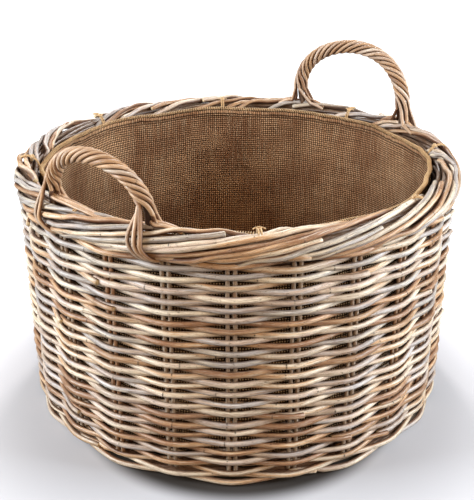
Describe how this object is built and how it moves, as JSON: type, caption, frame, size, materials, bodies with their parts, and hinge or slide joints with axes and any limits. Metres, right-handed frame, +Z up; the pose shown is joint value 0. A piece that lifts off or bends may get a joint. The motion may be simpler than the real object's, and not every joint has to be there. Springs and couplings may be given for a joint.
{
  "type": "wicker log basket",
  "caption": "Large round woven cane log basket with rolled border, two rope-twist ear handles and a lift-out hessian lining.",
  "frame": {"origin": "centre of the underside of the base, on the floor", "axes": "+Z up; -Y is the front as a person sees it; the handles are opposite each other, at 40 degrees from the Y axis"},
  "size_m": [0.6, 0.6, 0.4442],
  "materials": {
    "cane": "warm tan cane, satin",
    "grey_cane": "weathered grey-buff cane, satin",
    "hessian": "coarse open hessian",
    "jute": "twisted jute twine"
  },
  "bodies": {
    "basket": {"base_stick_back": "cane", "base_stick_front": "cane", "base_stick_left": "cane", "base_stick_right": "cane", "base_weave": "cane", "foot_wale": "cane", "stake_01": "cane", "stake_02": "cane", "stake_03": "cane", "stake_04": "cane", "stake_05": "cane", "stake_06": "cane", "stake_07": "cane", "stake_08": "cane", "stake_09": "cane", "stake_10": "cane", "stake_11": "cane", "stake_12": "cane", "stake_13": "cane", "stake_14": "cane", "stake_15": "cane", "stake_16": "cane", "stake_17": "cane", "stake_18": "cane", "stake_19": "cane", "stake_20": "cane", "stake_21": "cane", "stake_22": "cane", "stake_23": "cane", "stake_24": "cane", "handle_front_bow": "cane", "handle_front_strand_1": "cane", "handle_front_strand_2": "cane", "handle_front_strand_3": "cane", "handle_front_strand_4": "cane", "handle_front_strand_5": "cane", "handle_front_strand_6": "cane", "handle_front_strand_7": "cane", "handle_back_bow": "cane", "handle_back_strand_1": "cane", "handle_back_strand_2": "cane", "handle_back_strand_3": "cane", "handle_back_strand_4": "cane", "handle_back_strand_5": "cane", "handle_back_strand_6": "cane", "handle_back_strand_7": "cane", "side_weaver_a": "grey_cane", "side_weaver_b": "grey_cane", "rim_border": "grey_cane", "lining_tie_1": "jute", "lining_tie_2": "jute", "lining_tie_3": "jute", "lining_tie_4": "jute", "lining_tie_5": "jute", "lining_tie_6": "jute", "lining_tie_7": "jute", "lining_tie_8": "jute"},
    "lining": {"lining_side": "hessian", "lining_floor": "hessian"}
  },
  "joints": [
    {"name": "lining_lift", "type": "slide", "parent": "basket", "child": "lining", "axis": [0, 0, 1], "range_m": [0, 0.46]}
  ]
}
